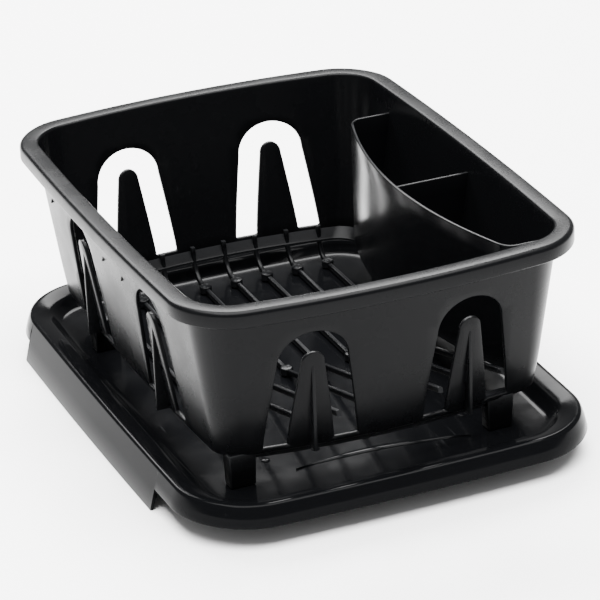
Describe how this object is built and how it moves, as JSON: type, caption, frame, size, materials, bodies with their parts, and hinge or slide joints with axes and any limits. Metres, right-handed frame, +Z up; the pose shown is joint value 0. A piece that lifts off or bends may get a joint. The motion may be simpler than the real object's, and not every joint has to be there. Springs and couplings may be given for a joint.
{
  "type": "dish drying rack",
  "caption": "Small moulded dish rack with arched windows, bent plate ribs and a divided cutlery pocket, standing in a lipped drip tray.",
  "frame": {"origin": "on the table, under the middle of the bounding box", "axes": "+X to the right along the front, towards the cutlery pocket; +Y to the back; +Z up"},
  "size_m": [0.24, 0.3058, 0.1234],
  "materials": {
    "rack_plastic": "satin-gloss moulded black",
    "tray_plastic": "satin-gloss moulded black"
  },
  "bodies": {
    "tray": {"tray_floor": "tray_plastic", "tray_rim": "tray_plastic", "tray_rail_left": "tray_plastic", "tray_rail_right": "tray_plastic"},
    "rack": {"rack_rim": "rack_plastic", "wall_front": "rack_plastic", "wall_back": "rack_plastic", "wall_left": "rack_plastic", "wall_right": "rack_plastic", "pocket_wall": "rack_plastic", "pocket_floor": "rack_plastic", "pocket_divider": "rack_plastic", "plate_rib_1": "rack_plastic", "plate_rib_2": "rack_plastic", "plate_rib_3": "rack_plastic", "plate_rib_4": "rack_plastic", "plate_rib_5": "rack_plastic", "plate_rib_6": "rack_plastic", "plate_rib_7": "rack_plastic", "plate_rib_8": "rack_plastic", "foot_front_left": "rack_plastic", "foot_front_right": "rack_plastic", "foot_back_left": "rack_plastic", "foot_back_right": "rack_plastic"}
  },
  "joints": [
    {"name": "rack_lift", "type": "slide", "parent": "tray", "child": "rack", "axis": [0, 0, 1], "range_m": [0, 0.13]}
  ]
}
